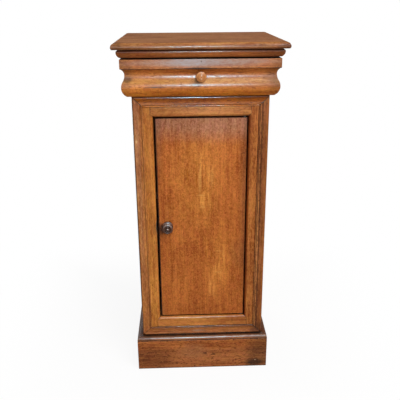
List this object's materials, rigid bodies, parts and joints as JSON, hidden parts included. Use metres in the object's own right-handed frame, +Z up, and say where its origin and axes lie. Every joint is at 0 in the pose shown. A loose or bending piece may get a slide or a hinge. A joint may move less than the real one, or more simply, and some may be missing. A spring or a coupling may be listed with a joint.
{
  "type": "bedside cabinet",
  "caption": "Tall narrow oak bedside cabinet with an ogee frieze drawer over a pivot-hung cupboard door, moulded top, mitred edge mouldings and a capped plinth.",
  "frame": {"origin": "on the floor, in the middle of the cabinet's outline seen from above", "axes": "+Z up, front faces -Y, +X is the right side seen from the front"},
  "size_m": [0.3952, 0.3576, 0.8625],
  "materials": {
    "waxed_oak": "waxed, golden brown",
    "plain_oak": "bare, aged",
    "turned_pale_wood": "waxed",
    "turned_dark_wood": "dark stained, glossy",
    "iron": "dark aged iron"
  },
  "bodies": {
    "carcass": {"top_board": "waxed_oak", "cornice_front": "waxed_oak", "cornice_left": "waxed_oak", "cornice_right": "waxed_oak", "frieze_left": "waxed_oak", "frieze_right": "waxed_oak", "top_rail": "waxed_oak", "top_cleat_left": "plain_oak", "top_cleat_right": "plain_oak", "side_left": "waxed_oak", "side_right": "waxed_oak", "stile_left": "waxed_oak", "stile_right": "waxed_oak", "rail_upper": "waxed_oak", "rail_lower": "waxed_oak", "edge_moulding_left": "waxed_oak", "edge_moulding_right": "waxed_oak", "edge_moulding_top": "waxed_oak", "edge_moulding_bottom": "waxed_oak", "strike_plate": "iron", "strike_screws": "iron", "drawer_divider": "plain_oak", "cupboard_floor": "plain_oak", "shelf": "plain_oak", "shelf_batten_left": "plain_oak", "shelf_batten_right": "plain_oak", "back_board_left": "plain_oak", "back_board_middle": "plain_oak", "back_board_right": "plain_oak", "plinth_front": "waxed_oak", "plinth_left": "waxed_oak", "plinth_right": "waxed_oak", "plinth_cap_front": "waxed_oak", "plinth_cap_left": "waxed_oak", "plinth_cap_right": "waxed_oak", "glue_blocks": "plain_oak", "pivot_pin_upper": "iron", "pivot_pin_lower": "iron", "pivot_washer": "iron"},
    "drawer": {"drawer_front": "waxed_oak", "drawer_side_left": "plain_oak", "drawer_side_right": "plain_oak", "drawer_back": "plain_oak", "drawer_bottom": "plain_oak", "drawer_knob": "turned_pale_wood"},
    "door": {"door_board": "waxed_oak"},
    "latch": {"door_knob": "turned_dark_wood", "latch_spindle": "iron", "latch_tongue": "iron", "latch_nut": "iron"}
  },
  "joints": [
    {"name": "drawer_slide", "type": "slide", "parent": "carcass", "child": "drawer", "axis": [0, -1, 0], "range_m": [0, 0.2]},
    {"name": "door_swing", "type": "hinge", "parent": "carcass", "child": "door", "pos_m": [0.104, -0.1297, 0.155], "axis": [0, 0, 1], "range_deg": [0, 105]},
    {"name": "latch_turn", "type": "hinge", "parent": "door", "child": "latch", "pos_m": [-0.085, -0.1342, 0.4135], "axis": [0, 1, 0], "range_deg": [0, 90]}
  ]
}
